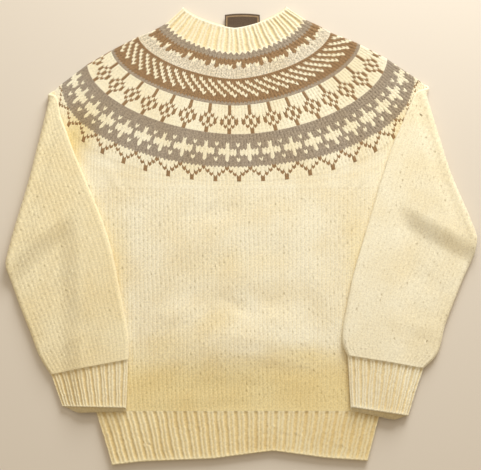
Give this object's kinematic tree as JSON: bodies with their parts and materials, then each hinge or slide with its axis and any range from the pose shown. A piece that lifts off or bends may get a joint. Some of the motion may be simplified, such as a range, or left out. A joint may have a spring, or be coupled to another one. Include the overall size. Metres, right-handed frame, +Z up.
{
  "type": "round yoke wool pullover",
  "caption": "Hand-knitted wool pullover with a patterned round yoke and ribbed edges, laid flat with both sleeves folded over its front.",
  "frame": {"origin": "centre of the bounding box in plan, on the surface that the pullover lies on", "axes": "+Z up from the surface, +Y from the hem towards the neck, +X to the right of the plan, which is the wearer's left side"},
  "size_m": [0.7042, 0.7088, 0.017],
  "materials": {
    "cream_wool": "soft knitted wool, matt and slightly fuzzy",
    "yoke_wool": "stranded knitting in cream, brown, taupe and oatmeal wool, matt",
    "label_cloth": "dark woven ribbon, matt"
  },
  "bodies": {
    "root": {"yoke": "yoke_wool", "neckband": "cream_wool", "body": "cream_wool", "hem_rib": "cream_wool", "sleeve_left": "cream_wool", "sleeve_right": "cream_wool", "cuff_left": "cream_wool", "cuff_right": "cream_wool", "neck_label": "label_cloth"}
  },
  "joints": []
}
